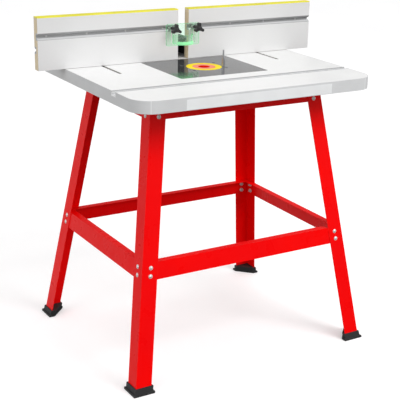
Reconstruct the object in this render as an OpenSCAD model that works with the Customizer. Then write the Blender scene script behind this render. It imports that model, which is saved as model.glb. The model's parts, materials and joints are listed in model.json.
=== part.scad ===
// Free-standing router table: a splayed steel stand, a laminated top with an insert plate,
// a split fence that slides on the top, and a clear guard on the fence.
// Origin: on the floor at the centre of the stand. +X right, +Y to the rear, +Z up. Millimetres.

$fn = 64;

/* [Table top] */
// Length of the top, left to right
top_length = 804; // [780:1:860]
// Depth of the top, front to rear
top_depth = 692; // [670:1:720]
// Height of the work surface above the floor
work_height = 870; // [820:1:920]
// Thickness of the top
top_thick = 36; // [34:1:40]
// Radius of the top's corners
top_corner = 64; // [40:1:80]
// Thickness of the edge band
band_thick = 2; // [1:0.5:3]
// Y of the mitre track's centre line
mitre_y = -195; // [-210:1:-180]
// Width of the mitre track over its outer faces
mitre_width = 27; // [26:0.5:30]
// Width of the mitre track's throat
mitre_throat = 19.2; // [19:0.1:20]
// X of the fence slots, left and right of the centre
fence_slot_x = 280; // [270:1:300]
// Width of the fence slots
fence_slot_width = 10; // [9:0.5:12]
// Length of the blank label on the front edge
label_length = 490; // [200:5:520]

/* [Insert plate] */
// Length of the insert plate
plate_length = 304; // [280:1:310]
// Depth of the insert plate
plate_depth = 260; // [235:1:262]
// Thickness of the insert plate
plate_thick = 9.5; // [8:0.5:12]
// Corner radius of the insert plate
plate_corner = 6; // [4:1:12]
// Radius of the outer ring
ring_outer_r = 55; // [50:1:56]
// Radius of the middle ring
ring_middle_r = 35.8; // [32:0.1:38]
// Radius of the centre disc
ring_centre_r = 17.9; // [15:0.1:20]
// X of the starting pin
pin_x = 61.5; // [61:0.5:70]
// Y of the starting pin
pin_y = -13; // [-16:1:-10]

/* [Stand] */
// X of a leg's outer corner at the top
leg_top_x = 291; // [285:1:300]
// Y of a leg's outer corner at the top
leg_top_y = 204; // [200:1:215]
// X of a leg's outer corner at the floor
leg_foot_x = 408; // [380:1:430]
// Y of a leg's outer corner at the floor
leg_foot_y = 338.5; // [320:0.5:345]
// Width of a leg's flanges
leg_flange = 50; // [45:1:55]
// Thickness of the sheet steel
sheet = 2; // [1.5:0.5:2.5]
// Height of the lower stretchers' top face
stretcher_top = 378; // [300:1:450]
// Height of the lower stretchers' webs
stretcher_height = 51; // [48:1:60]
// Width of the lower stretchers' top flanges
stretcher_flange = 21; // [16:1:30]
// Height of the upper aprons' webs
apron_height = 55; // [50:1:65]
// Width of the upper aprons' top flanges
apron_flange = 25; // [20:1:30]
// Distance of the frame bolts from a leg's outer corner
bolt_inset = 28; // [24:1:32]
// Vertical distance between the two frame bolts of a joint
bolt_pitch = 24; // [20:1:28]
// Height of the rubber feet
foot_height = 21; // [18:1:30]

/* [Fence] */
// Y of the fence's front face
fence_front = 131.5; // [125:0.5:140]
// Length of one fence face
face_length = 468; // [440:1:480]
// Thickness of the fence faces
face_thick = 26; // [24:0.5:30]
// Height of the fence faces with their top edge
face_height = 158; // [150:1:170]
// Gap between the two faces
face_gap = 38; // [34:1:44]
// Height of the front tracks' centre line above the work surface
front_track_z = 101; // [98:1:104]
// Height of the rear tracks' centre line above the work surface
rear_track_z = 60; // [58:1:62]

/* [Guard] */
// X of the guard's centre
guard_x = -3.5; // [-4:0.5:0]
// Distance of the guard's bolts from its centre
guard_bolt_x = 40.5; // [40:0.5:42]
// Radius of the guard's round visor
visor_r = 34; // [30:0.5:34]
// Height of the visor's floor above the work surface
visor_z = 50; // [45:1:55]

/* [Hidden] */

paint_red = [0.85, 0.02, 0.03];
zinc = [0.75, 0.76, 0.78];
black = [0.06, 0.06, 0.07];
aluminium = [0.72, 0.74, 0.76];
eps = 0.01;
far = 1400;

// Stand geometry. The front and rear planes lean by lean_y, the side planes by lean_x.
under = work_height - top_thick;
lean_x = atan((leg_foot_x - leg_top_x) / under);
lean_y = atan((leg_foot_y - leg_top_y) / under);
lean_x_turned = atan(tan(lean_x) * cos(lean_y));
// Sideways drift of a leg's side flange across its section, which keeps it parallel to Y
skew = tan(lean_y) * sin(lean_x_turned);
bolt_r = 2.9;
bolt_hole_r = 3.3;
leg_end = 4.2;
stretcher_mid = stretcher_top - stretcher_height / 2;
lower_bolt_z = [stretcher_mid - bolt_pitch / 2, stretcher_mid + bolt_pitch / 2];
upper_bolt_z = [under - 46, under - 46 + bolt_pitch];
top_screw_x = [60, 220];
top_screw_y = [-150, -60];
top_screw_inset = 16;

// Table top geometry
mitre_depth = 14.5;
mitre_wall = 1.4;
mitre_floor = 2;
mitre_cavity_height = 4.6;
mitre_screw_x = [-360, -180, 0, 180, 360];
well_length = 250;
well_depth = 206;
slot_front = 6;
slot_rear = 228;
channel_width = 22;
channel_depth = 14;
label_height = 29;
label_thick = 0.4;
label_margin = 1.5;
label_x = -11;
plate_screw = [137, 116];
router_hole = [57, 38];
seat_gap = 0.1;
ring_drop = 6;

// Fence geometry
base_gap = 0.3;
bracket_thick = 3;
bracket_inner = 46;
bracket_outer = 380;
bracket_upright_inner = 70;
bracket_depth = 70;
bracket_height = 88;
face_bottom = work_height + 1;
face_rear = fence_front + face_thick;
edge_thick = 3;
track_height = 21;
track_depth = 14;
track_lip = 6;
track_mouth = 18;
track_mouth_depth = 4;
track_throat = 8;
track_cavity = 14.4;
track_cavity_depth = 5.4;
track_screw_x = [32, 161, 290, 419];
bracket_front = face_rear + base_gap;
base_bottom = work_height + base_gap;
base_top = base_bottom + bracket_thick;
clamp_y = 188;
face_clamp_x = [110, 330];
hood_half = 44;
hood_wall = 3;
hood_rear = 244;
hood_height = 60;
hood_flange = 22;
spigot_r = 25;
spigot_bore = 22.8;
spigot_length = 36;
spigot_z = work_height + 32;
hood_screw_y = [172, 212];
m6_r = 3;
m8_r = 4;
thread_gap = 0.06;
washer_thick = 1.3;

function corner_x(z) = leg_foot_x - z * tan(lean_x);
function corner_y(z) = leg_foot_y - z * tan(lean_y);

// ---------- helpers ----------

// Slab of the given size with round corners, centred on X and Y, standing on z = 0
module rounded_slab(length, depth, r, height) {
    linear_extrude(height) {
        square([length - 2 * r, depth], center = true);
        square([length, depth - 2 * r], center = true);
        for (x = [-1, 1], y = [-1, 1]) translate([x * (length / 2 - r), y * (depth / 2 - r)]) circle(r);
    }
}

// Everything between two heights
module slab(z0, z1) {
    translate([-far / 2, -far / 2, z0]) cube([far, far, z1 - z0]);
}

// Long hole along Y with round ends, from y0 to y1
module long_hole(x, y0, y1, width, z0, height) {
    translate([x - width / 2, y0 + width / 2, z0]) cube([width, y1 - y0 - width, height]);
    for (y = [y0 + width / 2, y1 - width / 2]) translate([x, y, z0]) cylinder(h = height, r = width / 2);
}

// Copies the front right quarter to any corner of the stand
module corner(left, rear) {
    if (left && rear) mirror([1, 0, 0]) mirror([0, 1, 0]) children();
    else if (left) mirror([1, 0, 0]) children();
    else if (rear) mirror([0, 1, 0]) children();
    else children();
}

// Frame of the front right leg: +Z runs up the leg's outer corner
module along_leg() {
    translate([leg_foot_x, -leg_foot_y, 0])
        rotate([-lean_y, 0, 0]) rotate([0, -lean_x_turned, 0]) children();
}

// Frame of the front plane: +Y is its inward normal, +Z runs up the slope
module on_front() {
    translate([0, -leg_foot_y, 0]) rotate([-lean_y, 0, 0]) children();
}

// Frame of the right plane: -X is its inward normal, +Z runs up the slope
module on_side() {
    translate([leg_foot_x, 0, 0]) rotate([0, -lean_x, 0]) children();
}

// Axis of a frame bolt in the front plane, pointing inward
module front_axis(z) {
    on_front() translate([corner_x(z) - bolt_inset, 0, z / cos(lean_y)]) rotate([-90, 0, 0]) children();
}

// Axis of a frame bolt in the right plane, pointing inward
module side_axis(z) {
    on_side() translate([0, bolt_inset - corner_y(z), z / cos(lean_x)]) rotate([0, -90, 0]) children();
}

module bolt_hole() {
    translate([0, 0, -sheet]) cylinder(h = 5 * sheet, r = bolt_hole_r);
}

// Countersunk screw pointing down, its flat head at z = 0
module countersunk_screw(head_r, shank_r, length) {
    head = head_r - shank_r;
    translate([0, 0, -head]) cylinder(h = head, r1 = shank_r, r2 = head_r);
    translate([0, 0, -length]) cylinder(h = length - head + eps, r = shank_r);
}

// The hole that a countersunk screw fills, with a little room
module countersink(head_r, shank_r, length) {
    room = 0.1;
    head = head_r - shank_r;
    translate([0, 0, -head]) cylinder(h = head, r1 = shank_r + room, r2 = head_r + room);
    translate([0, 0, -eps]) cylinder(h = 1, r = head_r + room);
    translate([0, 0, -length]) cylinder(h = length, r = shank_r + room);
}

// ---------- table top ----------

module mitre_outer(length) {
    translate([-length / 2, mitre_y - mitre_width / 2, work_height - mitre_depth])
        cube([length, mitre_width, mitre_depth + 1]);
}

module plate_well() {
    translate([0, 0, work_height - plate_thick])
        rounded_slab(plate_length + 0.6, plate_depth + 0.6, plate_corner + 0.3, plate_thick + 1);
    translate([0, 0, under - 1]) rounded_slab(well_length, well_depth, plate_corner, top_thick);
}

module fence_slots() {
    lap = (channel_width - fence_slot_width) / 2;
    for (side = [-1, 1]) {
        long_hole(side * fence_slot_x, slot_front, slot_rear, fence_slot_width, under - 1, top_thick + 2);
        long_hole(side * fence_slot_x, slot_front - lap, slot_rear + lap, channel_width, under - 1,
                  channel_depth + 1);
    }
}

// Places of the wood screws that hold the top to the aprons
module top_screw_places() {
    for (side = [-1, 1], x = top_screw_x, sx = [-1, 1])
        translate([sx * x, side * (corner_y(under) - top_screw_inset), under - sheet]) children();
    for (side = [-1, 1], y = top_screw_y)
        translate([side * (corner_x(under) - top_screw_inset), y, under - sheet]) children();
}

module table_top() {
    color("whitesmoke") difference() {
        translate([0, 0, under])
            rounded_slab(top_length - 2 * band_thick, top_depth - 2 * band_thick,
                         top_corner - band_thick, top_thick);
        mitre_outer(far);
        plate_well();
        fence_slots();
        for (x = mitre_screw_x)
            translate([x, mitre_y, work_height - mitre_depth - 12]) cylinder(h = 13, r = 1.7);
        for (x = [-1, 1], y = [-1, 1])
            translate([x * plate_screw[0], y * plate_screw[1], work_height - 26]) cylinder(h = 20, r = 2.5);
        top_screw_places() cylinder(h = 18, r = 2.2);
    }
}

module edge_band() {
    color("silver") difference() {
        translate([0, 0, under]) rounded_slab(top_length, top_depth, top_corner, top_thick);
        translate([0, 0, under - 1])
            rounded_slab(top_length - 2 * band_thick, top_depth - 2 * band_thick, top_corner - band_thick,
                         top_thick + 2);
        mitre_outer(far);
    }
}

module front_label() {
    color("white") translate([label_x - label_length / 2, -top_depth / 2 - label_thick,
                              under + label_margin])
        cube([label_length, label_thick, label_height]);
}

module mitre_track() {
    cavity = mitre_width - 2 * mitre_wall;
    color(aluminium) difference() {
        translate([-top_length / 2, mitre_y - mitre_width / 2, work_height - mitre_depth])
            cube([top_length, mitre_width, mitre_depth]);
        translate([-far / 2, mitre_y - mitre_throat / 2, work_height - mitre_depth + mitre_floor])
            cube([far, mitre_throat, mitre_depth]);
        translate([-far / 2, mitre_y - cavity / 2, work_height - mitre_depth + mitre_floor])
            cube([far, cavity, mitre_cavity_height]);
        for (x = mitre_screw_x)
            translate([x, mitre_y, work_height - mitre_depth + mitre_floor]) countersink(3.1, 1.6, 8);
    }
}

module mitre_track_screws() {
    color(zinc) for (x = mitre_screw_x)
        translate([x, mitre_y, work_height - mitre_depth + mitre_floor]) countersunk_screw(3.1, 1.6, 13);
}

module top_screws() {
    color(zinc) top_screw_places() {
        translate([0, 0, -2.4]) cylinder(h = 2.4, r = 4.5);
        cylinder(h = 16, r = 2.1);
    }
}

// ---------- insert plate, rings and pin ----------

module plate_screw_places() {
    for (x = [-1, 1], y = [-1, 1])
        translate([x * plate_screw[0], y * plate_screw[1], work_height - 0.1]) children();
}

module insert_plate() {
    color("gray") difference() {
        translate([0, 0, work_height - plate_thick + 0.05])
            rounded_slab(plate_length, plate_depth, plate_corner, plate_thick - 0.05);
        translate([0, 0, work_height - plate_thick - 1])
            cylinder(h = plate_thick + 2, r = ring_outer_r - 5);
        translate([0, 0, work_height - 3 - seat_gap]) cylinder(h = 5, r = ring_outer_r + 0.2);
        plate_screw_places() countersink(4.5, 2.5, 15);
        for (x = [-1, 1], y = [-1, 1]) translate([x * router_hole[0], y * router_hole[1], work_height]) {
            translate([0, 0, -plate_thick - 1]) cylinder(h = plate_thick + 2, r = 3);
            translate([0, 0, -2.5]) cylinder(h = 3, r1 = 3, r2 = 6);
        }
        translate([pin_x, pin_y, work_height - plate_thick - 1]) cylinder(h = plate_thick + 2, r = 3.05);
    }
}

module plate_screws() {
    color(zinc) plate_screw_places() difference() {
        countersunk_screw(4.5, 2.4, 22);
        translate([0, 0, -2]) cylinder(h = 3, r = 1.7, $fn = 6);
    }
}

// Stepped ring: a flange at the work surface and a thinner spigot below it, round a stepped hole
module stepped_ring(r, flange, hole_r, seat_r, seat_depth) {
    difference() {
        union() {
            translate([0, 0, work_height - flange]) cylinder(h = flange, r = r);
            translate([0, 0, work_height - ring_drop]) cylinder(h = ring_drop, r = r - 5.2);
        }
        translate([0, 0, work_height - ring_drop - 1]) cylinder(h = ring_drop + 2, r = hole_r);
        translate([0, 0, work_height - seat_depth]) cylinder(h = seat_depth + 1, r = seat_r);
    }
}

module ring_outer() {
    color("gold") stepped_ring(ring_outer_r, 3, ring_middle_r - 5, ring_middle_r + 0.2, 2 + seat_gap);
}

module ring_middle() {
    color("salmon") stepped_ring(ring_middle_r, 2, ring_centre_r - 5, ring_centre_r + 0.2, 2 + seat_gap);
}

module ring_centre() {
    color("red") difference() {
        union() {
            translate([0, 0, work_height - 2]) cylinder(h = 2, r = ring_centre_r);
            translate([0, 0, work_height - ring_drop]) cylinder(h = ring_drop, r = ring_centre_r - 5.2);
        }
        for (side = [-1, 1]) translate([side * 11, 0, work_height - 1.5]) cylinder(h = 2, r = 2);
    }
}

module starting_pin() {
    color(zinc) translate([pin_x, pin_y, work_height]) {
        translate([0, 0, seat_gap]) cylinder(h = 27.7, r = 4.7);
        translate([0, 0, 27]) cylinder(h = 22.7, r = 2.5);
        translate([0, 0, -9]) cylinder(h = 10, r = 2.98);
    }
}

// ---------- stand ----------

// Section of a leg: gap widens it all round for the pocket in the foot
module leg_section(gap) {
    reach = leg_flange + gap;
    inner = sheet + gap;
    polygon([[gap - skew * gap, -gap], [-reach, -gap], [-reach, inner], [-inner + skew * inner, inner],
             [-inner + skew * reach, reach], [gap + skew * reach, reach]]);
}

module leg_bar(gap) {
    along_leg() translate([0, 0, -30]) linear_extrude(under + 90) leg_section(gap);
}

module leg(left, rear) {
    color(paint_red) corner(left, rear) difference() {
        intersection() {
            leg_bar(0);
            slab(leg_end, under);
        }
        for (z = concat(lower_bolt_z, upper_bolt_z)) {
            front_axis(z) bolt_hole();
            side_axis(z) bolt_hole();
        }
    }
}

// Outline of a foot: the leg's corner with a slanting inner wall
module foot_section(grow) {
    reach = leg_flange + grow;
    polygon([[grow - skew * grow, -grow], [-reach, -grow], [-reach, 9], [-9, reach],
        [grow + skew * reach, reach]]);
}

module foot(left, rear) {
    color(black) corner(left, rear) difference() {
        union() {
            intersection() {
                along_leg() translate([0, 0, -30]) linear_extrude(90) foot_section(4);
                slab(0, foot_height);
            }
            intersection() {
                along_leg() translate([0, 0, -30]) linear_extrude(90) foot_section(8.4);
                slab(0, 6);
            }
        }
        intersection() {
            leg_bar(0.15);
            slab(leg_end - 0.2, foot_height + 10);
        }
    }
}

// Angle rail in the front plane: a leaning web against the legs and a level flange on top
module front_rail(top, height, flange) {
    bottom = top - height;
    end_gap = 2 * sheet + 3;
    web_top = top + 3;
    outer = -corner_y(top) + sheet / cos(lean_y);
    intersection() {
        union() {
            on_front() translate([0, 2 * sheet, 0]) rotate([90, 0, 0]) linear_extrude(sheet) polygon([
                [end_gap - corner_x(bottom), bottom / cos(lean_y)],
                [corner_x(bottom) - end_gap, bottom / cos(lean_y)],
                [corner_x(web_top) - end_gap, web_top / cos(lean_y)],
                [end_gap - corner_x(web_top), web_top / cos(lean_y)]]);
            translate([end_gap - corner_x(top), outer + 0.3, top - sheet])
                cube([2 * (corner_x(top) - end_gap), flange, sheet]);
        }
        slab(bottom - 50, top);
    }
}

// Angle rail in the right plane; its flange is notched clear of the front and rear rails
module side_rail(top, height, flange) {
    bottom = top - height;
    end_gap = sheet + 1.5;
    web_top = top + 3;
    outer = corner_x(top) - sheet / cos(lean_x);
    flange_half = corner_y(top) - flange - 2 * sheet - 1;
    intersection() {
        union() {
            on_side() translate([-2 * sheet, 0, 0]) rotate([90, 0, 90]) linear_extrude(sheet) polygon([
                [end_gap - corner_y(bottom), bottom / cos(lean_x)],
                [corner_y(bottom) - end_gap, bottom / cos(lean_x)],
                [corner_y(web_top) - end_gap, web_top / cos(lean_x)],
                [end_gap - corner_y(web_top), web_top / cos(lean_x)]]);
            translate([outer - 0.3 - flange, -flange_half, top - sheet])
                cube([flange, 2 * flange_half, sheet]);
        }
        slab(bottom - 50, top);
    }
}

module front_bolt_holes(heights) {
    for (left = [false, true]) corner(left, false) for (z = heights) front_axis(z) bolt_hole();
}

module side_bolt_holes(heights) {
    for (rear = [false, true]) corner(false, rear) for (z = heights) side_axis(z) bolt_hole();
}

module apron_long(rear) {
    color(paint_red) difference() {
        corner(false, rear) difference() {
            front_rail(under, apron_height, apron_flange);
            front_bolt_holes(upper_bolt_z);
        }
        top_screw_places() translate([0, 0, -5]) cylinder(h = 10, r = 2.6);
    }
}

module apron_short(left) {
    color(paint_red) difference() {
        corner(left, false) difference() {
            side_rail(under, apron_height, apron_flange);
            side_bolt_holes(upper_bolt_z);
        }
        top_screw_places() translate([0, 0, -5]) cylinder(h = 10, r = 2.6);
    }
}

module stretcher_long(rear) {
    color(paint_red) corner(false, rear) difference() {
        front_rail(stretcher_top, stretcher_height, stretcher_flange);
        front_bolt_holes(lower_bolt_z);
    }
}

module stretcher_short(left) {
    color(paint_red) corner(left, false) difference() {
        side_rail(stretcher_top, stretcher_height, stretcher_flange);
        side_bolt_holes(lower_bolt_z);
    }
}

module frame_joints() {
    for (left = [false, true], rear = [false, true]) corner(left, rear)
        for (z = concat(lower_bolt_z, upper_bolt_z)) {
            front_axis(z) children();
            side_axis(z) children();
        }
}

// Round head with a flat washer face, and the shank behind it
module frame_bolt() {
    translate([0, 0, -0.8]) cylinder(h = 0.8, r = 6.4);
    translate([0, 0, -0.8]) rotate([180, 0, 0]) rotate_extrude() intersection() {
        translate([0, -4.4]) circle(7);
        square([6, 2.6]);
    }
    translate([0, 0, -eps]) cylinder(h = 12, r = bolt_r);
}

module frame_bolts() {
    color(zinc) frame_joints() frame_bolt();
}

module frame_nuts() {
    color(zinc) frame_joints() translate([0, 0, 2 * sheet]) difference() {
        union() {
            cylinder(h = 1, r = 7);
            cylinder(h = 5.5, r = 5.8, $fn = 6);
        }
        translate([0, 0, -1]) cylinder(h = 8, r = bolt_r + 0.05);
    }
}

// ---------- knobs, bolts and washers ----------

// Outline of a knob: three round lobes joined to a round hub by tapering arms
module lobes(reach, tip_r, hub_r) {
    circle(hub_r);
    for (turn = [90, 210, 330]) rotate([0, 0, turn]) {
        translate([reach - tip_r, 0]) circle(tip_r);
        polygon([[0, -hub_r * 0.8], [0, hub_r * 0.8],
            [reach - tip_r, tip_r * 0.85], [reach - tip_r, -tip_r * 0.85]]);
    }
}

// Three-lobed knob on a round neck: +Z points away from the work, z = 0 is the neck's foot
module lobe_knob(neck_r, neck, thick, reach, tip_r, hub_r, bore_r, bore) {
    difference() {
        union() {
            cylinder(h = neck + thick / 2, r = neck_r);
            translate([0, 0, neck]) linear_extrude(thick) lobes(reach, tip_r, hub_r);
        }
        translate([0, 0, -1]) cylinder(h = bore + 1, r = bore_r);
    }
}

// T-bolt: its square head lies in a track, +Z is its shank
module t_bolt(length) {
    translate([-6.3, -6.3, 0]) cube([12.6, 12.6, 3.6]);
    cylinder(h = length, r = m6_r);
}

module washer(r, hole_r) {
    difference() {
        cylinder(h = washer_thick, r = r);
        translate([0, 0, -1]) cylinder(h = washer_thick + 2, r = hole_r);
    }
}

// ---------- fence ----------

module bracket(side) {
    length = bracket_outer - bracket_inner;
    upright = bracket_outer - bracket_upright_inner;
    color("lightsteelblue") mirror([side < 0 ? 1 : 0, 0, 0]) difference() {
        union() {
            translate([bracket_inner, bracket_front, base_bottom])
                cube([length, bracket_depth, bracket_thick]);
            translate([bracket_upright_inner, bracket_front, base_bottom])
                cube([upright, bracket_thick, bracket_height]);
        }
        translate([fence_slot_x, clamp_y, base_bottom - 1]) cylinder(h = bracket_thick + 2, r = m8_r + 0.3);
        for (x = face_clamp_x) translate([x, bracket_front - 1, work_height + rear_track_z])
            rotate([-90, 0, 0]) cylinder(h = bracket_thick + 2, r = m6_r + 0.3);
        for (y = hood_screw_y) translate([hood_half + hood_flange / 2 + 1, y, base_bottom - 1])
            cylinder(h = bracket_thick + 2, r = 2.2);
    }
}

module dust_hood() {
    inner = hood_half - hood_wall;
    bottom = base_bottom + 0.2;
    top = work_height + hood_height;
    front = face_rear + 0.5;
    color(black) difference() {
        union() {
            translate([-hood_half, front, bottom]) cube([2 * hood_half, hood_rear - front, top - bottom]);
            translate([-hood_half - hood_flange, front + 8, base_top])
                cube([2 * (hood_half + hood_flange), hood_rear - front - 24, hood_wall]);
            translate([0, hood_rear - 1, spigot_z])
                rotate([-90, 0, 0]) cylinder(h = spigot_length + 1, r = spigot_r);
        }
        translate([-inner, front - 1, bottom - 1])
            cube([2 * inner, hood_rear - hood_wall - front + 1, top - hood_wall - bottom + 1]);
        translate([0, hood_rear - 10, spigot_z])
            rotate([-90, 0, 0]) cylinder(h = spigot_length + 20, r = spigot_bore);
        for (side = [-1, 1], y = hood_screw_y)
            translate([side * (hood_half + hood_flange / 2 + 1), y, base_top - 1])
                cylinder(h = hood_wall + 2, r = 2.3);
    }
}

module hood_screws() {
    color(zinc) for (side = [-1, 1], y = hood_screw_y)
        translate([side * (hood_half + hood_flange / 2 + 1), y, base_top + hood_wall]) {
            cylinder(h = 2.6, r = 4.2);
            translate([0, 0, -hood_wall - bracket_thick + 0.2])
                cylinder(h = hood_wall + bracket_thick, r = 2.1);
        }
}

// Vertical clamp bolts: heads in the wide channels under the top, shanks up through the slots
module base_clamp_bolts() {
    ledge = under + channel_depth;
    color(zinc) for (side = [-1, 1]) translate([side * fence_slot_x, clamp_y, 0]) {
        translate([0, 0, ledge - 7.3]) cylinder(h = 5.4, r = 7.4, $fn = 6);
        translate([0, 0, ledge - 7.3]) cylinder(h = base_top + 15 - ledge + 7.3, r = m8_r);
    }
}

module face_clamp_places() {
    for (side = [-1, 1], x = face_clamp_x)
        translate([side * x, face_rear, work_height + rear_track_z]) rotate([-90, 0, 0]) children();
}

module face_clamp_bolts() {
    color(zinc) face_clamp_places() translate([0, 0, -track_lip - 4.2]) t_bolt(track_lip + 22);
}

module clamp_washers() {
    ledge = under + channel_depth;
    color(zinc) {
        for (side = [-1, 1]) translate([side * fence_slot_x, clamp_y, 0]) {
            translate([0, 0, ledge - base_gap - washer_thick]) washer(10, m8_r + 0.1);
            translate([0, 0, base_top]) washer(9, m8_r + 0.1);
        }
        face_clamp_places() translate([0, 0, base_gap + bracket_thick]) washer(7, m6_r + 0.1);
    }
}

module base_knob(side) {
    color(black) translate([side * fence_slot_x, clamp_y, base_top + washer_thick + base_gap])
        lobe_knob(9, 6, 14, 23, 6.5, 11, m8_r + thread_gap, 14);
}

module face_knob(x) {
    color(black) translate([x, face_rear + base_gap + bracket_thick + washer_thick + base_gap,
                            work_height + rear_track_z])
        rotate([-90, 0, 0]) lobe_knob(6.5, 4, 11, 17.5, 4.6, 8, m6_r + thread_gap, 13.2);
}

// X of the left end of a face
function face_start(side) = side < 0 ? -face_gap / 2 - face_length : face_gap / 2;

module face(side) {
    color("gainsboro") difference() {
        translate([face_start(side), fence_front, face_bottom])
            cube([face_length, face_thick, face_height - edge_thick]);
        translate([-far / 2, fence_front - 1, work_height + front_track_z - track_height / 2])
            cube([far, track_depth + 1, track_height]);
        translate([-far / 2, face_rear - track_depth, work_height + rear_track_z - track_height / 2])
            cube([far, track_depth + 1, track_height]);
        for (x = track_screw_x) {
            translate([face_start(side) + x, fence_front + track_depth - 1, work_height + front_track_z])
                rotate([-90, 0, 0]) cylinder(h = 7, r = 1.7);
            translate([face_start(side) + x, face_rear - track_depth + 1, work_height + rear_track_z])
                rotate([90, 0, 0]) cylinder(h = 7, r = 1.7);
        }
    }
}

module face_edge(side) {
    color("yellow") translate([face_start(side), fence_front, face_bottom + face_height - edge_thick])
        cube([face_length, face_thick, edge_thick]);
}

// Open side of a track at y = 0, its back at y = track_depth, centred on z = 0; its mouth is a shallow V
module track(side) {
    floor_y = track_lip + track_cavity_depth;
    flare = (track_mouth - track_throat) / 2 / track_mouth_depth;
    rim = track_mouth / 2 + flare;
    color(aluminium) translate([face_start(side), 0, 0]) difference() {
        translate([0, 0, -track_height / 2]) cube([face_length, track_depth, track_height]);
        translate([-1, -1, -track_throat / 2]) cube([face_length + 2, floor_y + 1, track_throat]);
        translate([-1, 0, 0]) rotate([90, 0, 90]) linear_extrude(face_length + 2)
            polygon([[-1, -rim], [track_mouth_depth, -track_throat / 2],
                [track_mouth_depth, track_throat / 2], [-1, rim]]);
        translate([-1, track_lip, -track_cavity / 2])
            cube([face_length + 2, track_cavity_depth, track_cavity]);
        for (x = track_screw_x) translate([x, floor_y, 0]) rotate([90, 0, 0]) countersink(3.4, 1.6, 6);
    }
}

module front_track(side) {
    translate([0, fence_front, work_height + front_track_z]) track(side);
}

module rear_track(side) {
    translate([0, face_rear, work_height + rear_track_z]) mirror([0, 1, 0]) track(side);
}

module track_screws(side) {
    floor_y = track_lip + track_cavity_depth;
    color(zinc) for (x = track_screw_x) {
        translate([face_start(side) + x, fence_front + floor_y, work_height + front_track_z])
            rotate([90, 0, 0]) countersunk_screw(3.4, 1.6, 7.6);
        translate([face_start(side) + x, face_rear - floor_y, work_height + rear_track_z])
            rotate([-90, 0, 0]) countersunk_screw(3.4, 1.6, 7.6);
    }
}

// ---------- guard ----------

guard_thick = 3;
guard_back = fence_front - base_gap;
guard_bottom = work_height + 45;
guard_top = work_height + 113.7;
guard_half = 59;
visor_wall = 2.5;
visor_height = 30;
guard_slot_width = 6.8;

module guard_places() {
    for (side = [-1, 1])
        translate([guard_x + side * guard_bolt_x, 0, work_height + front_track_z]) children();
}

module guard_bolts() {
    color(zinc) guard_places() translate([0, fence_front + track_lip + 4.1, 0]) rotate([90, 0, 0])
        t_bolt(track_lip + 41);
}

module guard_washers() {
    color(zinc) guard_places() translate([0, guard_back - guard_thick - base_gap, 0]) rotate([90, 0, 0])
        washer(6.2, m6_r + 0.1);
}

module guard_knob(side) {
    foot_y = guard_back - guard_thick - base_gap - washer_thick - base_gap;
    color(black) translate([guard_x + side * guard_bolt_x, foot_y, work_height + front_track_z])
        rotate([90, 0, 0]) lobe_knob(6, 24, 11, 17.5, 4.6, 8, m6_r + thread_gap, 33);
}

// Flat back with two upright slots, and a half-round visor with a floor in front of it
module guard_shield() {
    slot_low = work_height + visor_z + 2;
    slot_high = guard_top - 6;
    axis_y = guard_back - guard_thick;
    color([0.55, 0.95, 0.7, 0.4]) translate([guard_x, 0, 0]) difference() {
        union() {
            translate([0, guard_back, (guard_top + guard_bottom) / 2]) rotate([90, 0, 0])
                rounded_slab(2 * guard_half, guard_top - guard_bottom, 6, guard_thick);
            intersection() {
                translate([0, axis_y + 0.5, work_height + visor_z]) cylinder(h = visor_height, r = visor_r);
                translate([-far / 2, axis_y - far, 0]) cube([far, far + 0.5, far]);
            }
        }
        intersection() {
            translate([0, axis_y + 0.5, work_height + visor_z + guard_thick])
                cylinder(h = visor_height, r = visor_r - visor_wall);
            translate([-far / 2, axis_y - far, 0]) cube([far, far, far]);
        }
        for (side = [-1, 1]) {
            translate([side * guard_bolt_x - guard_slot_width / 2, axis_y - 1,
                slot_low + guard_slot_width / 2])
                cube([guard_slot_width, guard_thick + 2, slot_high - slot_low - guard_slot_width]);
            for (z = [slot_low + guard_slot_width / 2, slot_high - guard_slot_width / 2])
                translate([side * guard_bolt_x, guard_back + 1, z]) rotate([90, 0, 0])
                    cylinder(h = guard_thick + 2, r = guard_slot_width / 2);
        }
    }
}

// ---------- assembly ----------

table_top();
edge_band();
front_label();
mitre_track();
mitre_track_screws();
insert_plate();
plate_screws();
ring_outer();
ring_middle();
ring_centre();
starting_pin();
leg(true, false);  // leg_front_left
leg(false, false);  // leg_front_right
leg(true, true);  // leg_rear_left
leg(false, true);  // leg_rear_right
foot(true, false);  // foot_front_left
foot(false, false);  // foot_front_right
foot(true, true);  // foot_rear_left
foot(false, true);  // foot_rear_right
apron_long(false);  // apron_front
apron_long(true);  // apron_rear
apron_short(true);  // apron_left
apron_short(false);  // apron_right
stretcher_long(false);  // stretcher_front
stretcher_long(true);  // stretcher_rear
stretcher_short(true);  // stretcher_left
stretcher_short(false);  // stretcher_right
frame_bolts();
frame_nuts();
top_screws();
bracket(-1);  // bracket_left
bracket(1);  // bracket_right
dust_hood();
hood_screws();
base_clamp_bolts();
face_clamp_bolts();
clamp_washers();
base_knob(-1);  // base_knob_left
base_knob(1);  // base_knob_right
face_knob(-face_clamp_x[1]);  // face_knob_outer_left
face_knob(-face_clamp_x[0]);  // face_knob_inner_left
face_knob(face_clamp_x[0]);  // face_knob_inner_right
face_knob(face_clamp_x[1]);  // face_knob_outer_right
face(-1);  // face_left
face_edge(-1);  // face_edge_left
front_track(-1);  // front_track_left
rear_track(-1);  // rear_track_left
track_screws(-1);  // track_screws_left
face(1);  // face_right
face_edge(1);  // face_edge_right
front_track(1);  // front_track_right
rear_track(1);  // rear_track_right
track_screws(1);  // track_screws_right
guard_bolts();
guard_washers();
guard_shield();
guard_knob(-1);  // guard_knob_left
guard_knob(1);  // guard_knob_right
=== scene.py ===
import json
import math

import bmesh
import bpy
from mathutils import Matrix, Vector


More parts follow.
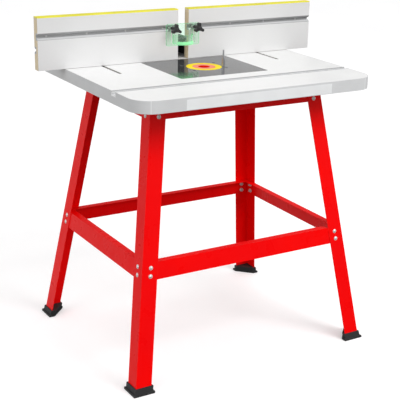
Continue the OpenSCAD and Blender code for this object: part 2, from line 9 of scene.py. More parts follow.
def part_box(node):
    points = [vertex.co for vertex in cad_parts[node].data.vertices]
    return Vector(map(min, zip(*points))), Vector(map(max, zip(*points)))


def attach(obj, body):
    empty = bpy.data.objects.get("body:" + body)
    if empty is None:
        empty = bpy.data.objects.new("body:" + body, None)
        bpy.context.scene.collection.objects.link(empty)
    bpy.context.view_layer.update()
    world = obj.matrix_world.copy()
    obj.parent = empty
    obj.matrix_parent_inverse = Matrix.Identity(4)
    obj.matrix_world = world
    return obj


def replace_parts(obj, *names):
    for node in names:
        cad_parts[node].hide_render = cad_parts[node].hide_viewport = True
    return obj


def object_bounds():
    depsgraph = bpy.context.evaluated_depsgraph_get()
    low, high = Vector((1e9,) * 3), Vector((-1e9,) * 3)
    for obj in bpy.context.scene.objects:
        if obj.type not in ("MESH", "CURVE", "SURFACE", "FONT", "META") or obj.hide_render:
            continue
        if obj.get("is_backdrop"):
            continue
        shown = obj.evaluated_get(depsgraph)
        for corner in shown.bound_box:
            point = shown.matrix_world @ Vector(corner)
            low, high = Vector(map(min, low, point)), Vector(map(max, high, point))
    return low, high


# Router table: materials, small trim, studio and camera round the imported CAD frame. Lengths are in
# metres. X runs along the fence to the right, Y to the rear and Z up.
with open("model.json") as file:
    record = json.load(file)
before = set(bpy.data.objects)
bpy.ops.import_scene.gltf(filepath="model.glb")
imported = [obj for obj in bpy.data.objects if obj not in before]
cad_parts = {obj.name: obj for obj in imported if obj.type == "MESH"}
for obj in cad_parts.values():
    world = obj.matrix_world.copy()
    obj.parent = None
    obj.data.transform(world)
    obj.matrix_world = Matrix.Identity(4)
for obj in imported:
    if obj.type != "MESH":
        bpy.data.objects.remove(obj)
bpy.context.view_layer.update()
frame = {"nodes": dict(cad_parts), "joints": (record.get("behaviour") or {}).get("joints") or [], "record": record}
NODES = frame["nodes"]
X, Y, Z = 0, 1, 2
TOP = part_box("table_top")[1].z            # height of the work surface
LAMINATE = 0.0009                         # how deep the white laminate of a board goes
UNDER_LAMINATE = 0.001                    # the same on the underside of the top
TOP_GLUE = 0.0012                         # where the dark line under the top's laminate ends
FACE_GLUE = 0.0013                        # the same on the fence faces
scene = bpy.context.scene


# ---------------------------------------------------------------- node helpers
class Tree:
    """A material with a Principled shader, and short ways to add nodes to it."""

    def __init__(self, name, **sockets):
        self.material = bpy.data.materials.new(name)
        self.material.use_nodes = True
        self.nt = self.material.node_tree
        self.nt.nodes.clear()
        out = self.nt.nodes.new("ShaderNodeOutputMaterial")
        self.bsdf = self.nt.nodes.new("ShaderNodeBsdfPrincipled")
        self.nt.links.new(self.bsdf.outputs[0], out.inputs[0])
        self.coord = self.nt.nodes.new("ShaderNodeTexCoord").outputs["Object"]
        for key, value in sockets.items():
            self.bsdf.inputs[key.replace("_", " ")].default_value = value

    def put(self, socket, value):
        """Links a node's output to a socket, or sets the socket's value."""
        if isinstance(value, bpy.types.NodeSocket):
            self.nt.links.new(value, socket)
        else:
            socket.default_value = value

    def set(self, name, value):
        self.put(self.bsdf.inputs[name], value)

    def add(self, kind, output=0, inputs=None, **props):
        """Adds a node and returns one of its outputs."""
        node = self.nt.nodes.new("ShaderNode" + kind)
        for key, value in props.items():
            setattr(node, key, value)
        for key, value in (inputs or {}).items():
            self.put(node.inputs[key], value)
        return node.outputs[output]

    def math(self, op, a, b=0.0, clamp=False):
        return self.add("Math", inputs={0: a, 1: b}, operation=op, use_clamp=clamp)

    def times(self, a, b):
        return self.math("MULTIPLY", a, b)

    def stretch(self, x, y, z):
        """Object coordinates times a scale for each axis: a texture on them is drawn out along the
        axes that have small numbers."""
        return self.add("Mapping", inputs={"Vector": self.coord, "Scale": (x, y, z)})

    def noise(self, scale, detail=3.0, rough=0.5):
        return self.add("TexNoise", inputs={"Vector": self.coord, "Scale": scale,
                                            "Detail": detail, "Roughness": rough})

    def grain(self, scales, detail=3.0, rough=0.5):
        """Noise with a scale of its own along each axis."""
        return self.add("TexNoise", inputs={"Vector": self.stretch(*scales), "Scale": 1.0,
                                            "Detail": detail, "Roughness": rough})

    def span(self, value, low, high, to_low=0.0, to_high=1.0):
        """Maps low to to_low and high to to_high, and stops at both."""
        return self.add("MapRange", inputs={"Value": value, "From Min": low, "From Max": high,
                                            "To Min": to_low, "To Max": to_high}, clamp=True)

    def drift(self, noise, low=0.0, high=1.0):
        """Draws out the middle of a noise, where most of it lies, to go from low to high."""
        return self.span(noise, 0.3, 0.7, low, high)

    def mix(self, fac, a, b):
        """Colour a where fac is 0 and b where it is 1."""
        node = self.nt.nodes.new("ShaderNodeMix")
        node.data_type = "RGBA"
        for socket, value in zip((0, 6, 7), (fac, a, b)):      # factor, A and B of the colour mix
            self.put(node.inputs[socket], value)
        return node.outputs[2]                                 # its result

    def bump(self, height, distance, strength, normal=None):
        inputs = {"Height": height, "Distance": distance, "Strength": strength}
        if normal is not None:
            inputs["Normal"] = normal
        return self.add("Bump", inputs=inputs)

    def edges(self, radius, low=0.02, high=0.35):
        """1 along convex and concave edges, 0 on flats: how far a rounded normal leans from the
        surface's own."""
        rounded = self.add("Bevel", inputs={"Radius": radius}, samples=4)
        normal = self.add("NewGeometry", "Normal")
        lean = self.add("VectorMath", "Value", inputs={0: rounded, 1: normal},
                        operation="DOT_PRODUCT")
        return self.span(self.math("SUBTRACT", 1.0, lean), low, high)

    def facing(self, axis):
        """Size of the true normal's part along one axis of the object."""
        normal = self.add("NewGeometry", "True Normal")
        return self.math("ABSOLUTE", self.add("SeparateXYZ", axis, inputs={0: normal}))

    def place(self, axis):
        """Object coordinate along one axis."""
        return self.add("SeparateXYZ", axis, inputs={0: self.coord})


def rgb(r, g, b):
    return (r, g, b, 1.0)


def grey(value):
    return rgb(value, value, value)


def shade(colour, amount):
    """The same colour, times an amount."""
    return tuple(c * amount for c in colour[:3]) + (1,)


def varied(t, base, other, scale):
    """Soft clouds of one colour in another."""
    return t.mix(t.span(t.noise(scale, 4.0), 0.35, 0.65), base, other)


# ---------------------------------------------------------------- materials
def red_paint():
    """Powder coat on steel sheet: fine orange peel, small drifts of shade, and thinner, paler paint
    on the sharp edges."""
    t = Tree("red_powder_coat", Specular_IOR_Level=0.08)
    tone = varied(t, rgb(0.93, 0.001, 0.001), rgb(0.87, 0.001, 0.002), 5.0)
    specks = t.span(t.noise(420.0, 2.0), 0.62, 0.72)
    tone = t.mix(t.times(specks, 0.2), tone, rgb(0.90, 0.02, 0.02))
    worn = t.times(t.edges(0.0012), t.span(t.noise(60.0, 5.0), 0.42, 0.62))
    t.set("Base Color", t.mix(t.times(worn, 0.5), tone, rgb(0.88, 0.16, 0.13)))
    t.set("Roughness", t.drift(t.noise(24.0, 5.0), 0.24, 0.38))
    peel = t.bump(t.noise(650.0, 2.0), 0.00006, 0.5)
    t.set("Normal", t.bump(t.noise(30.0, 3.0), 0.0002, 0.3, peel))
    return t.material


def laminate(t, white):
    """Colour of white laminate: almost plain, with a faint cloud and a fine fleck."""
    clouded = rgb(white * 0.95, white * 0.95, white * 0.945)
    tone = varied(t, grey(white), clouded, 3.0)
    fleck = rgb(white * 0.84, white * 0.84, white * 0.83)
    return t.mix(t.times(t.span(t.noise(900.0, 2.0), 0.58, 0.7), 0.3), tone, fleck)


def fibreboard(t, dark, light, clump):
    """Colour of a sawn fibreboard edge: short fibres with darker clumps."""
    fibres = t.grain((260.0, 260.0, 1400.0), 5.0, 0.65)
    tone = t.mix(t.drift(fibres), dark, light)
    clumps = t.span(t.noise(700.0, 3.0, 0.7), 0.55, 0.7)
    return t.mix(t.times(clumps, 0.4), tone, clump)


def board_finish(t, white, fibres):
    """Roughness and relief of a board: satin where it is white, dull and fibrous where it is sawn.
    fibres holds the scale of the sawn fibres along each axis."""
    satin = t.drift(t.noise(14.0, 5.0), 0.30, 0.42)
    t.set("Roughness", t.mix(white, grey(0.85), satin))
    fine = t.bump(t.noise(1300.0, 2.0), 0.00004, 0.35)
    sawn = t.span(white, 0.0, 1.0, 0.5, 0.0)
    t.set("Normal", t.bump(t.grain(fibres, 4.0, 0.6), 0.0003, sawn, fine))


def table_board():
    """Laminate on the top and underside, sealed fibreboard where it is cut, and a thin dark line
    where the upper laminate ends."""
    t = Tree("white_laminate_top", Specular_IOR_Level=0.45)
    low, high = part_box("table_top")
    flat = t.span(t.facing(Z), 0.6, 0.8)
    z = t.place(Z)
    skin = t.math("GREATER_THAN", z, high.z - LAMINATE)
    glue = t.times(t.math("GREATER_THAN", z, high.z - TOP_GLUE), t.math("SUBTRACT", 1.0, skin))
    within = t.times(t.math("LESS_THAN", z, high.z - TOP_GLUE),
                     t.math("GREATER_THAN", z, low.z + UNDER_LAMINATE))
    inside = t.times(flat, within)
    white = t.math("MAXIMUM", skin, t.math("SUBTRACT", flat, inside), clamp=True)
    sealed = fibreboard(t, rgb(0.41, 0.40, 0.385), rgb(0.51, 0.50, 0.48), rgb(0.29, 0.28, 0.265))
    tone = t.mix(white, sealed, laminate(t, 0.80))
    t.set("Base Color", t.mix(glue, tone, rgb(0.16, 0.10, 0.06)))
    board_finish(t, white, (500.0, 500.0, 1500.0))
    return t.material


def fence_board(node):
    """Laminate on the front and rear, tan fibreboard on the sawn ends, the bottom and in the
    grooves, and a thin dark line between the two."""
    t = Tree("laminate_" + node, Specular_IOR_Level=0.45)
    low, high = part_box(node)
    across = t.span(t.facing(Y), 0.6, 0.8)
    y = t.place(Y)

    def near(depth):
        """1 nearer than depth to the front or the rear of the board."""
        return t.math("MAXIMUM", t.math("LESS_THAN", y, low.y + depth),
                      t.math("GREATER_THAN", y, high.y - depth))

    skin, line = near(LAMINATE), near(FACE_GLUE)
    white = t.math("MAXIMUM", skin, t.times(across, line), clamp=True)
    sawn = fibreboard(t, rgb(0.68, 0.56, 0.38), rgb(0.86, 0.74, 0.53), rgb(0.50, 0.39, 0.25))
    # The laminate is the same white as the top's, set darker (0.68 against 0.80): painted shade on the upright
    # faces
    tone = t.mix(white, sawn, laminate(t, 0.68))
    glue = t.math("SUBTRACT", line, white, clamp=True)
    t.set("Base Color", t.mix(glue, tone, rgb(0.20, 0.13, 0.08)))
    board_finish(t, white, (500.0, 1500.0, 500.0))
    return t.material


def moulded(name, colour, pale, rough, grain, depth, rub=0.35):
    """Moulded plastic or rubber: fine pitted skin, drifting gloss, edges paler in patches: wear and painted
    highlight.
    """
    t = Tree(name)
    tone = varied(t, colour, shade(colour, 0.86), 14.0)
    # Paler edges in patches: partly wear, partly a painted highlight along the edges; rub sets how strong it is
    worn_and_highlit_edges = t.times(t.edges(0.0009), t.span(t.noise(90.0, 4.0), 0.35, 0.65))
    t.set("Base Color", t.mix(t.times(worn_and_highlit_edges, rub), tone, pale))
    t.set("Roughness", t.drift(t.noise(40.0, 4.0), rough - 0.05, rough + 0.07))
    pits = t.add("TexVoronoi", inputs={"Vector": t.coord, "Scale": grain}, feature="SMOOTH_F1")
    t.set("Normal", t.bump(t.noise(grain * 0.45, 3.0), depth, 0.5, t.bump(pits, depth, 0.4)))
    return t.material


def edging():
    """Extruded grey edging: fine streaks along its length, a soft sheen, and a painted highlight, a
    pale line on the front and rear runs where each corner's arc begins."""
    t = Tree("grey_edging", Specular_IOR_Level=0.15)
    tone = varied(t, rgb(0.63, 0.635, 0.64), rgb(0.58, 0.585, 0.59), 9.0)
    streaks = t.grain((20.0, 20.0, 1800.0))
    tone = t.mix(t.times(t.span(streaks, 0.45, 0.65), 0.35), tone, rgb(0.67, 0.675, 0.68))
    # A pale line where the corners' arcs meet the front and rear runs: a painted highlight
    corner = 0.04
    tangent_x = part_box("edge_band")[1].x - corner
    from_tangent = t.math("ABSOLUTE", t.math("SUBTRACT", t.math("ABSOLUTE", t.place(X)), tangent_x))
    tangent_highlight = t.times(t.span(from_tangent, 0.0008, 0.0016, 1.0, 0.0), t.facing(Y))
    t.set("Base Color", t.mix(t.times(tangent_highlight, 0.8), tone, rgb(0.80, 0.81, 0.81)))
    t.set("Roughness", t.drift(streaks, 0.34, 0.5))
    t.set("Normal", t.bump(streaks, 0.00005, 0.5, t.bump(t.noise(800.0, 2.0), 0.00003, 0.4)))
    return t.material


def film():
    """Blank pale label film: satin, with a faint ripple from being stuck down."""
    t = Tree("pale_label_film", Coat_Weight=0.2, Coat_Roughness=0.25)
    t.set("Base Color", varied(t, rgb(0.80, 0.81, 0.815), rgb(0.76, 0.77, 0.775), 18.0))
    t.set("Roughness", t.drift(t.noise(60.0, 4.0), 0.32, 0.44))
    fine = t.bump(t.noise(1200.0, 2.0), 0.00002, 0.4)
    t.set("Normal", t.bump(t.noise(45.0, 2.0), 0.0002, 0.3, fine))
    return t.material


def brushed(name, colour, along, rough, metal=1.0, inner=None):
    """Metal with fine lines along one axis, cloudy gloss, a few longer scratches and polished
    edges. inner is a paler colour painted 2 mm or more below the work surface: painted light inside the slot."""
    t = Tree(name, Metallic=metal)
    fine, coarse = [1500.0] * 3, [420.0] * 3
    fine[along], coarse[along] = 12.0, 5.0
    lines = t.grain(fine, 3.0, 0.6)
    scratches = t.span(t.grain(coarse, 2.0), 0.66, 0.74)
    tone = t.mix(t.drift(lines), colour, shade(colour, 0.82))
    clouds = t.span(t.noise(11.0, 5.0), 0.45, 0.7)
    tone = t.mix(t.times(clouds, 0.35), tone, shade(colour, 0.75))
    # Paler below the work surface: painted light on the slot's floor and walls
    if inner is not None:
        tone = t.mix(t.math("LESS_THAN", t.place(Z), TOP - 0.002), tone, inner)
    t.set("Base Color", t.mix(t.times(t.edges(0.0005), 0.25), tone, grey(0.93)))
    t.set("Roughness", t.math("ADD", t.drift(lines, rough - 0.07, rough + 0.08),
                              t.times(scratches, 0.12)))
    t.set("Normal", t.bump(lines, 0.00003, 0.6, t.bump(scratches, 0.00004, 0.4)))
    return t.material


def plated(name, colours, thread=None, pitch=None):
    """Plated or blackened steel: three colours in a fine bloom and bright worn edges. Where thread
    names an axis, a thread of that pitch runs along it."""
    t = Tree(name, Metallic=0.45)
    bloom = t.mix(t.span(t.noise(160.0, 4.0), 0.35, 0.65), colours[0], colours[1])
    bloom = t.mix(t.times(t.span(t.noise(500.0, 3.0), 0.5, 0.7), 0.35), bloom, colours[2])
    t.set("Base Color", t.mix(t.times(t.edges(0.0004), 0.4), bloom, grey(0.9)))
    t.set("Roughness", t.drift(t.noise(300.0, 4.0), 0.22, 0.42))
    normal = t.bump(t.noise(1800.0, 2.0), 0.00003, 0.5)
    if thread is not None:
        turns = t.math("SINE", t.times(t.place(thread), 2 * math.pi / pitch))
        side = t.math("SUBTRACT", 1.0, t.facing(thread), clamp=True)
        normal = t.bump(turns, 0.0004, t.times(side, 0.8), normal)
    t.set("Normal", normal)
    return t.material


def plate_face():
    """Grey insert plate: ground aluminium under a smooth dark lacquer, with very fine rub marks."""
    t = Tree("grey_insert_plate", Specular_IOR_Level=0.6)
    lines = t.grain((14.0, 1300.0, 300.0), 3.0, 0.6)
    tone = t.mix(t.drift(lines), rgb(0.062, 0.063, 0.065), rgb(0.052, 0.053, 0.055))
    clouds = t.span(t.noise(9.0, 5.0), 0.4, 0.7)
    tone = t.mix(t.times(clouds, 0.4), tone, rgb(0.045, 0.046, 0.048))
    t.set("Base Color", t.mix(t.times(t.edges(0.0006), 0.55), tone, rgb(0.62, 0.63, 0.65)))
    rub = t.span(t.grain((60.0, 700.0, 100.0), 2.0), 0.62, 0.74)
    t.set("Roughness", t.math("ADD", t.drift(lines, 0.05, 0.09), t.times(rub, 0.06)))
    t.set("Normal", t.bump(lines, 0.00002, 0.5))
    return t.material


def turned(name, colour, dark, gloss=0.03):
    """Satin plastic ring with faint concentric turning marks round the origin."""
    t = Tree(name, Specular_IOR_Level=gloss)
    x, y = t.place(X), t.place(Y)
    radius = t.math("SQRT", t.math("ADD", t.times(x, x), t.times(y, y)))
    mark_pitch = 0.0007
    marks = t.math("SINE", t.times(radius, 2 * math.pi / mark_pitch))
    tone = t.mix(t.span(t.noise(50.0, 4.0), 0.35, 0.65), colour, dark)
    # Darker along the edges and in the gaps between the rings: painted shade
    t.set("Base Color", t.mix(t.times(t.edges(0.0006), 0.6), tone, shade(colour, 0.45)))
    t.set("Roughness", t.drift(t.noise(80.0, 3.0), 0.38, 0.50))
    t.set("Normal", t.bump(marks, 0.00002, 0.35, t.bump(t.noise(900.0, 2.0), 0.00002, 0.4)))
    return t.material


def clear_green():
    """Green tinted clear plastic: nearly clear flats, edges and a band round the visor's foot that are
    deeper green and give out a painted glow, and faint scuffs."""
    t = Tree("clear_green_guard", IOR=1.4, Specular_IOR_Level=0.4,
             Emission_Color=rgb(0.16, 0.85, 0.28))
    rims = t.edges(0.0016, 0.01, 0.12)
    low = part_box("guard_shield")[0]
    foot = t.times(t.span(t.place(Z), low.z + 0.014, low.z + 0.017, 1.0, 0.0),
                   t.span(t.place(Y), low.y + 0.016, low.y + 0.018, 1.0, 0.0))
    # painted_glow: the guard's edges and the visor's foot give out light (emission), a painted glow; it also makes
    # them deeper green and less clear
    painted_glow = t.math("MAXIMUM", rims, t.times(foot, 0.6))
    t.set("Base Color", t.mix(painted_glow, rgb(0.77, 0.975, 0.83), rgb(0.20, 0.86, 0.36)))
    t.set("Transmission Weight", t.span(painted_glow, 0.0, 1.0, 0.98, 0.35))
    t.set("Emission Strength", t.times(painted_glow, 0.35))
    scuffs = t.span(t.grain((160.0, 160.0, 40.0), 4.0, 0.7), 0.6, 0.72)
    t.set("Roughness", t.math("ADD", t.drift(t.noise(70.0, 4.0), 0.03, 0.09),
                              t.times(scuffs, 0.15)))
    t.set("Normal", t.bump(t.noise(35.0, 3.0), 0.0001, 0.25, t.bump(scuffs, 0.00003, 0.3)))
    return t.material


def floor_material():
    t = Tree("pale_studio_floor", Specular_IOR_Level=0.2, Emission_Color=grey(1.0),
             Emission_Strength=0.23)
    t.set("Base Color", varied(t, grey(0.84), rgb(0.82, 0.82, 0.825), 1.2))
    t.set("Roughness", t.drift(t.noise(3.0, 4.0), 0.6, 0.75))
    t.set("Normal", t.bump(t.noise(180.0, 3.0), 0.0002, 0.15))
    return t.material


ZINC_BLOOM = (rgb(0.74, 0.75, 0.78), rgb(0.70, 0.68, 0.62), rgb(0.50, 0.52, 0.57))
BLACK_BLOOM = (rgb(0.10, 0.10, 0.105), rgb(0.075, 0.07, 0.07), rgb(0.04, 0.04, 0.045))
ALUMINIUM = rgb(0.50, 0.505, 0.51)

RED = red_paint()
ZINC = plated("zinc_plate", ZINC_BLOOM)
RAIL = brushed("extruded_aluminium", ALUMINIUM, X, 0.36, metal=0.4)
# The slot's inside is painted paler than its lips: painted light
SLOT_RAIL = brushed("mill_finish_aluminium", ALUMINIUM, X, 0.40, metal=0.3,
                    inner=rgb(0.75, 0.755, 0.76))
BLACKENED = plated("blackened_steel", BLACK_BLOOM)
RUBBER = moulded("black_rubber", rgb(0.018, 0.018, 0.019), grey(0.10),
                 rough=0.68, grain=900.0, depth=0.0002, rub=0.5)
KNOB = moulded("black_knob_plastic", rgb(0.014, 0.014, 0.015), rgb(0.07, 0.07, 0.075),
               rough=0.42, grain=1500.0, depth=0.0001)
HOOD = moulded("black_hood_plastic", rgb(0.020, 0.020, 0.021), rgb(0.08, 0.08, 0.085),
               rough=0.5, grain=1100.0, depth=0.00015)
WRINKLE = moulded("black_bracket_coat", rgb(0.030, 0.030, 0.032), rgb(0.16, 0.16, 0.165),
                  rough=0.5, grain=700.0, depth=0.00025)
YELLOW = moulded("yellow_edge_strip", rgb(0.84, 0.78, 0.03), rgb(0.90, 0.86, 0.25),
                 rough=0.36, grain=1000.0, depth=0.00005)

# Nodes with a material of their own; every other node takes the one of its slot
LOOKS = {
    "table_top": table_board(),
    "edge_band": edging(),
    "front_label": film(),
    "mitre_track": SLOT_RAIL,
    "insert_plate": plate_face(),
    "plate_screws": BLACKENED,
    "ring_outer": turned("yellow_ring", rgb(0.90, 0.72, 0.015), rgb(0.84, 0.64, 0.01)),
    "ring_middle": turned("salmon_ring", rgb(0.84, 0.27, 0.19), rgb(0.78, 0.23, 0.16)),
    "ring_centre": turned("red_disc", rgb(0.60, 0.006, 0.005), rgb(0.54, 0.005, 0.005), 0.0),
    "starting_pin": brushed("turned_steel_pin", rgb(0.40, 0.41, 0.43), Z, 0.3),
    "base_clamp_bolts": plated("zinc_upright_thread", ZINC_BLOOM, Z, 0.00125),
    "face_clamp_bolts": plated("zinc_level_thread", ZINC_BLOOM, Y, 0.001),
    "guard_bolts": plated("zinc_guard_thread", ZINC_BLOOM, Y, 0.001),
    "bracket_left": WRINKLE,
    "bracket_right": WRINKLE,
    "dust_hood": HOOD,
    "guard_shield": clear_green(),
    "face_left": fence_board("face_left"),
    "face_right": fence_board("face_right"),
}
BY_SLOT = {"red_paint": RED, "zinc_steel": ZINC, "aluminium": RAIL, "rubber_black": RUBBER,
           "knob_black": KNOB, "yellow": YELLOW}

slots = {s["node"]: s["material_slot"] for s in frame["record"]["subparts"]}
for name, obj in NODES.items():
    look = LOOKS.get(name) or BY_SLOT[slots[name]]
    obj.data.materials.clear()
    obj.data.materials.append(look)


# ---------------------------------------------------------------- added pieces
def new_piece(name, bm, material, body):
    mesh = bpy.data.meshes.new(name)
    bmesh.ops.recalc_face_normals(bm, faces=bm.faces)
    bm.to_mesh(mesh)
    bm.free()
    obj = bpy.data.objects.new(name, mesh)
    scene.collection.objects.link(obj)
    obj.data.materials.append(material)
    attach(obj, body)
    return obj


def solid_boxes(node, gap=0.004):
    """Boxes of a node's separate solids: vertices nearer than gap belong together."""
    found = []
    for v in NODES[node].data.vertices:
        hits = [g for g in found if all(g[0][i] - gap < v.co[i] < g[1][i] + gap for i in range(3))]
        low, high = Vector(v.co), Vector(v.co)
        for g in hits:
            low = Vector(map(min, low, g[0]))
            high = Vector(map(max, high, g[1]))
            found.remove(g)
        found.append((low, high))
    return found


def toward(axis):
    """Rotation that turns +Z to point along axis."""
    return Vector(axis).to_track_quat("Z", "Y").to_matrix().to_4x4()


def cross_head(bm, matrix, r, cone, shank, length):
    """Countersunk screw of head radius r with a cross recess. It faces +Z of matrix, its face at
    z = 0. cone is the head's height and shank the shank's radius."""
    arm, half, deep = r * 0.62, r * 0.15, r * 0.42     # recess: arm's reach, half its width, depth
    steps = 8                                          # of the rim, in each quarter

    def at(x, y, z):
        return bm.verts.new(matrix @ Vector((x, y, z)))

    rim, corners, floor = [], [], []
    for q in range(4):
        turn = Matrix.Rotation(q * math.pi / 2, 4, "Z")
        arc = [turn @ Vector((r * math.cos(a), r * math.sin(a), 0))
               for a in [i * math.pi / 2 / steps for i in range(steps)]]
        rim += [at(*p) for p in arc]
        mouth = ((arm, 0, 0), (arm, half, 0), (half, half, 0), (half, arm, 0))
        corners.append([at(*(turn @ Vector(p))) for p in mouth])
        base = ((arm * 0.55, 0, -deep), (arm * 0.5, half * 0.8, -deep),
                (half * 0.8, half * 0.8, -deep), (half * 0.8, arm * 0.5, -deep))
        floor.append([at(*(turn @ Vector(p))) for p in base])
    total = len(rim)
    for q in range(4):
        following = (q + 1) % 4
        upper = corners[q] + [corners[following][0]]
        lower = floor[q] + [floor[following][0]]
        arc = [rim[(q * steps + i) % total] for i in range(steps + 1)]
        bm.faces.new([upper[0]] + arc + upper[:0:-1])
        for i in range(4):
            bm.faces.new([upper[i], upper[i + 1], lower[i + 1], lower[i]])
    bm.faces.new([v for q in floor for v in q])
    neck = [at(*(shank / r * (matrix.inverted() @ v.co)).xy, -cone) for v in rim]
    tip = [at(*(shank / r * (matrix.inverted() @ v.co)).xy, -length) for v in rim]
    for a, b in ((rim, neck), (neck, tip)):
        for i in range(total):
            j = (i + 1) % total
            bm.faces.new([a[i], a[j], b[j], b[i]])
    bm.faces.new(tip)


# Screws with a cross recess take the place of the tracks' plain ones
for side in ("left", "right"):
    node = "track_screws_" + side
    middle = (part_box("face_" + side)[0].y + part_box("face_" + side)[1].y) / 2
    bm = bmesh.new()
    for low, high in solid_boxes(node):
        centre = (low + high) / 2
        in_front = centre.y < middle
        axis = (0, -1, 0) if in_front else (0, 1, 0)
        centre.y = low.y if in_front else high.y
        cross_head(bm, Matrix.Translation(centre) @ toward(axis), (high.x - low.x) / 2,
                   cone=0.0018, shank=0.0016, length=high.y - low.y)
    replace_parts(new_piece("cross_" + node, bm, ZINC, side + "_face"), node)

bm = bmesh.new()
for low, high in solid_boxes("mitre_track_screws"):
    centre = (low + high) / 2
    centre.z = high.z
    cross_head(bm, Matrix.Translation(centre), (high.x - low.x) / 2,
               cone=0.0015, shank=0.0016, length=high.z - low.z)
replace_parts(new_piece("cross_mitre_screws", bm, ZINC, "stand"), "mitre_track_screws")

NUT_RADIUS = {"base": 0.0075, "face": 0.0055, "guard": 0.0055}     # in each kind of knob
# Outline of a knob's cap, from its foot to its middle: radius over the nut's, and height
CAP_OUTLINE = ((1.18, -0.0004), (1.18, 0.0003), (1.12, 0.0006), (1.03, 0.0006), (0.97, 0.0002),
               (0.9, 0.0002), (0.8, 0.0005), (0.5, 0.0009), (0.2, 0.0011))
CAP_STEPS = 32                                                     # round the cap


def knob_cap(name, node, axis, body):
    """Moulded cap over the knob's nut: a shallow dome in a raised ring, on the outer end of the
    hub. axis points out of the knob."""
    low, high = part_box(node)
    nut = NUT_RADIUS[node.split("_")[0]]
    joint = next(j for j in frame["joints"] if j["child"] == body)
    centre = Vector(joint["pos_m"])
    index = max(range(3), key=lambda i: abs(axis[i]))
    centre[index] = high[index] if axis[index] > 0 else low[index]
    matrix = Matrix.Translation(centre) @ toward(axis)
    angles = [2 * math.pi * i / CAP_STEPS for i in range(CAP_STEPS)]
    bm = bmesh.new()
    rings = [[bm.verts.new(matrix @ Vector((r * math.cos(a), r * math.sin(a), z)))
              for a in angles] for r, z in [(nut * share, z) for share, z in CAP_OUTLINE]]
    for a, b in zip(rings, rings[1:]):
        for i in range(CAP_STEPS):
            j = (i + 1) % CAP_STEPS
            bm.faces.new([a[i], a[j], b[j], b[i]])
    bm.faces.new(rings[-1])
    bm.faces.new(rings[0])
    obj = new_piece(name, bm, KNOB, body)
    for face in obj.data.polygons:
        face.use_smooth = True


for side in ("left", "right"):
    knob_cap("cap_base_" + side, "base_knob_" + side, (0, 0, 1), "base_knob_" + side)
    knob_cap("cap_guard_" + side, "guard_knob_" + side, (0, -1, 0), "guard_knob_" + side)
    for spot in ("outer", "inner"):
        name = "face_knob_%s_%s" % (spot, side)
        knob_cap("cap_" + name, name, (0, 1, 0), name)

# ---------------------------------------------------------------- rounded edges
# Width of the rounding by the start of a node's name; the first that fits counts
ROUND = {"leg_": 0.0008, "apron_": 0.0007, "stretcher_": 0.0007, "foot_": 0.0012,
         "table_top": 0.0004, "edge_band": 0.0008, "insert_plate": 0.0005, "ring_": 0.0004,
         "base_knob": 0.0012, "face_knob": 0.001, "guard_knob": 0.001, "guard_shield": 0.0004,
         "dust_hood": 0.001, "bracket_": 0.0006, "face_edge": 0.0006, "face_": 0.0003,
         "front_track": 0.0003, "rear_track": 0.0003, "mitre_track": 0.0003,
         "starting_pin": 0.0005, "frame_nuts": 0.0004, "clamp_washers": 0.0003,
         "base_clamp": 0.0004}


def round_edges(obj, width):
    """Bevels edges sharper than 40 degrees."""
    bevel = obj.modifiers.new("round", "BEVEL")
    bevel.width = width
    bevel.segments = 2
    bevel.limit_method = "ANGLE"
    bevel.angle_limit = math.radians(40)
    bevel.use_clamp_overlap = True
    bevel.harden_normals = False


for name, obj in NODES.items():
    width = next((w for start, w in ROUND.items() if name.startswith(start)), None)
    if width and not obj.hide_render:
        round_edges(obj, width)

# Light passes the clear guard to what is behind it, as it does through thin clear plastic
NODES["guard_shield"].visible_shadow = False
NODES["guard_shield"].visible_diffuse = False

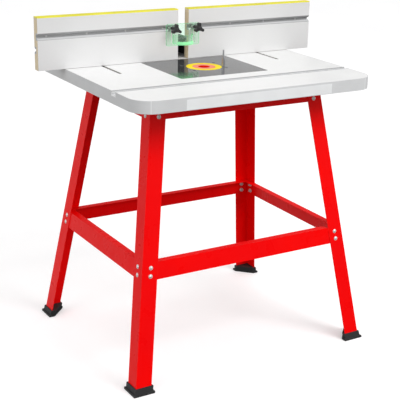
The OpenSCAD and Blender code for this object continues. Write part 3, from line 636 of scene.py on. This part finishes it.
# ---------------------------------------------------------------- floor, light and camera
HALF_FLOOR = 60
FLOOR_GAP = 0.0005                        # between the boots and the floor
mesh = bpy.data.meshes.new("floor")
mesh.from_pydata([(-HALF_FLOOR, -HALF_FLOOR, 0), (HALF_FLOOR, -HALF_FLOOR, 0),
                  (HALF_FLOOR, HALF_FLOOR, 0), (-HALF_FLOOR, HALF_FLOOR, 0)], [], [(0, 1, 2, 3)])
floor = bpy.data.objects.new("floor", mesh)
scene.collection.objects.link(floor)
floor.data.materials.append(floor_material())
floor.location.z = -FLOOR_GAP
floor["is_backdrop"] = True


def studio_world():
    """A soft white dome, brighter from the front right and dimmer below the horizon. Reflections
    see the studio's white wall at the left rear and its dark opening at the right rear."""
    world = bpy.data.worlds.new("studio")
    scene.world = world
    world.use_nodes = True
    nt = world.node_tree

    def add(kind, inputs, output=0, **props):
        node = nt.nodes.new("ShaderNode" + kind)
        for key, value in props.items():
            setattr(node, key, value)
        for key, value in inputs.items():
            if isinstance(value, bpy.types.NodeSocket):
                nt.links.new(value, node.inputs[key])
            else:
                node.inputs[key].default_value = value
        return node.outputs[output]

    def span(value, low, high, to_low=0.0, to_high=1.0):
        return add("MapRange", {"Value": value, "From Min": low, "From Max": high,
                                "To Min": to_low, "To Max": to_high})

    def blend(fac, a, b):
        """Number a where fac is 0 and b where it is 1."""
        return add("Mix", {0: fac, 2: a, 3: b})

    way = nt.nodes.new("ShaderNodeTexCoord").outputs["Generated"]
    path = nt.nodes.new("ShaderNodeLightPath").outputs

    def along(direction):
        """How far the line of sight points in a direction."""
        return add("VectorMath", {0: way, 1: direction}, "Value", operation="DOT_PRODUCT")

    dome = span(along((0.5, -0.8, 0.25)), -1.0, 1.0, 0.62, 1.12)
    wall = span(along((-0.545, 0.838, 0.0)), 0.2, 0.9, 0.05, 0.9)
    opening = span(along((0.50, 0.80, 0.32)), 0.75, 0.95, 1.0, 0.35)
    below = blend(path["Is Glossy Ray"], 0.20, wall)
    above = add("Math", {0: dome, 1: blend(path["Is Glossy Ray"], 1.0, opening)},
                operation="MULTIPLY")
    up = span(add("SeparateXYZ", {0: way}, Z), -0.06, 0.06)
    light = blend(up, below, above)
    background = nt.nodes["Background"]
    background.inputs[0].default_value = grey(1.0)
    nt.links.new(blend(path["Is Camera Ray"], light, 0.90), background.inputs[1])


studio_world()
floor.visible_diffuse = False
floor.visible_glossy = False


def softbox(name, place, aim, size, watts):
    light = bpy.data.lights.new(name, "AREA")
    light.shape = "RECTANGLE"
    light.size, light.size_y = size
    light.energy = watts
    obj = bpy.data.objects.new(name, light)
    obj.location = place
    obj.rotation_mode = "QUATERNION"
    obj.rotation_quaternion = (Vector(aim) - Vector(place)).to_track_quat("-Z", "Y")
    scene.collection.objects.link(obj)


MIDDLE = (0, 0, 0.6)                      # what the lights point at
softbox("key", (1.5, -3.6, 3.9), MIDDLE, (2.4, 2.0), 125)
softbox("fill", (-4.8, -1.0, 2.0), MIDDLE, (2.4, 2.2), 45)

# Camera at the photograph's viewing angle: it looks along yaw and pitch, then rolls about the line
# of sight
EYE = (-1.6385, -2.7701, 1.52175)
yaw, pitch, roll = math.radians(-33.10), math.radians(-18.59), math.radians(1.89)
ahead = Vector((-math.sin(yaw) * math.cos(pitch), math.cos(yaw) * math.cos(pitch),
                math.sin(pitch)))
level = Vector((math.cos(yaw), math.sin(yaw), 0))
upright = level.cross(ahead)
right = math.cos(roll) * level + math.sin(roll) * upright
above = -math.sin(roll) * level + math.cos(roll) * upright
camera = bpy.data.cameras.new("camera")
camera.sensor_width = 36
camera.lens = 95.0
camera.shift_x = -0.1125
camera.clip_end = 300
eye = bpy.data.objects.new("camera", camera)
scene.collection.objects.link(eye)
turned_to = Matrix((right, above, -ahead)).transposed().to_4x4()
eye.matrix_world = Matrix.Translation(EYE) @ turned_to
scene.camera = eye
scene.view_settings.view_transform = "Standard"
scene.view_settings.look = "None"

low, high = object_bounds()
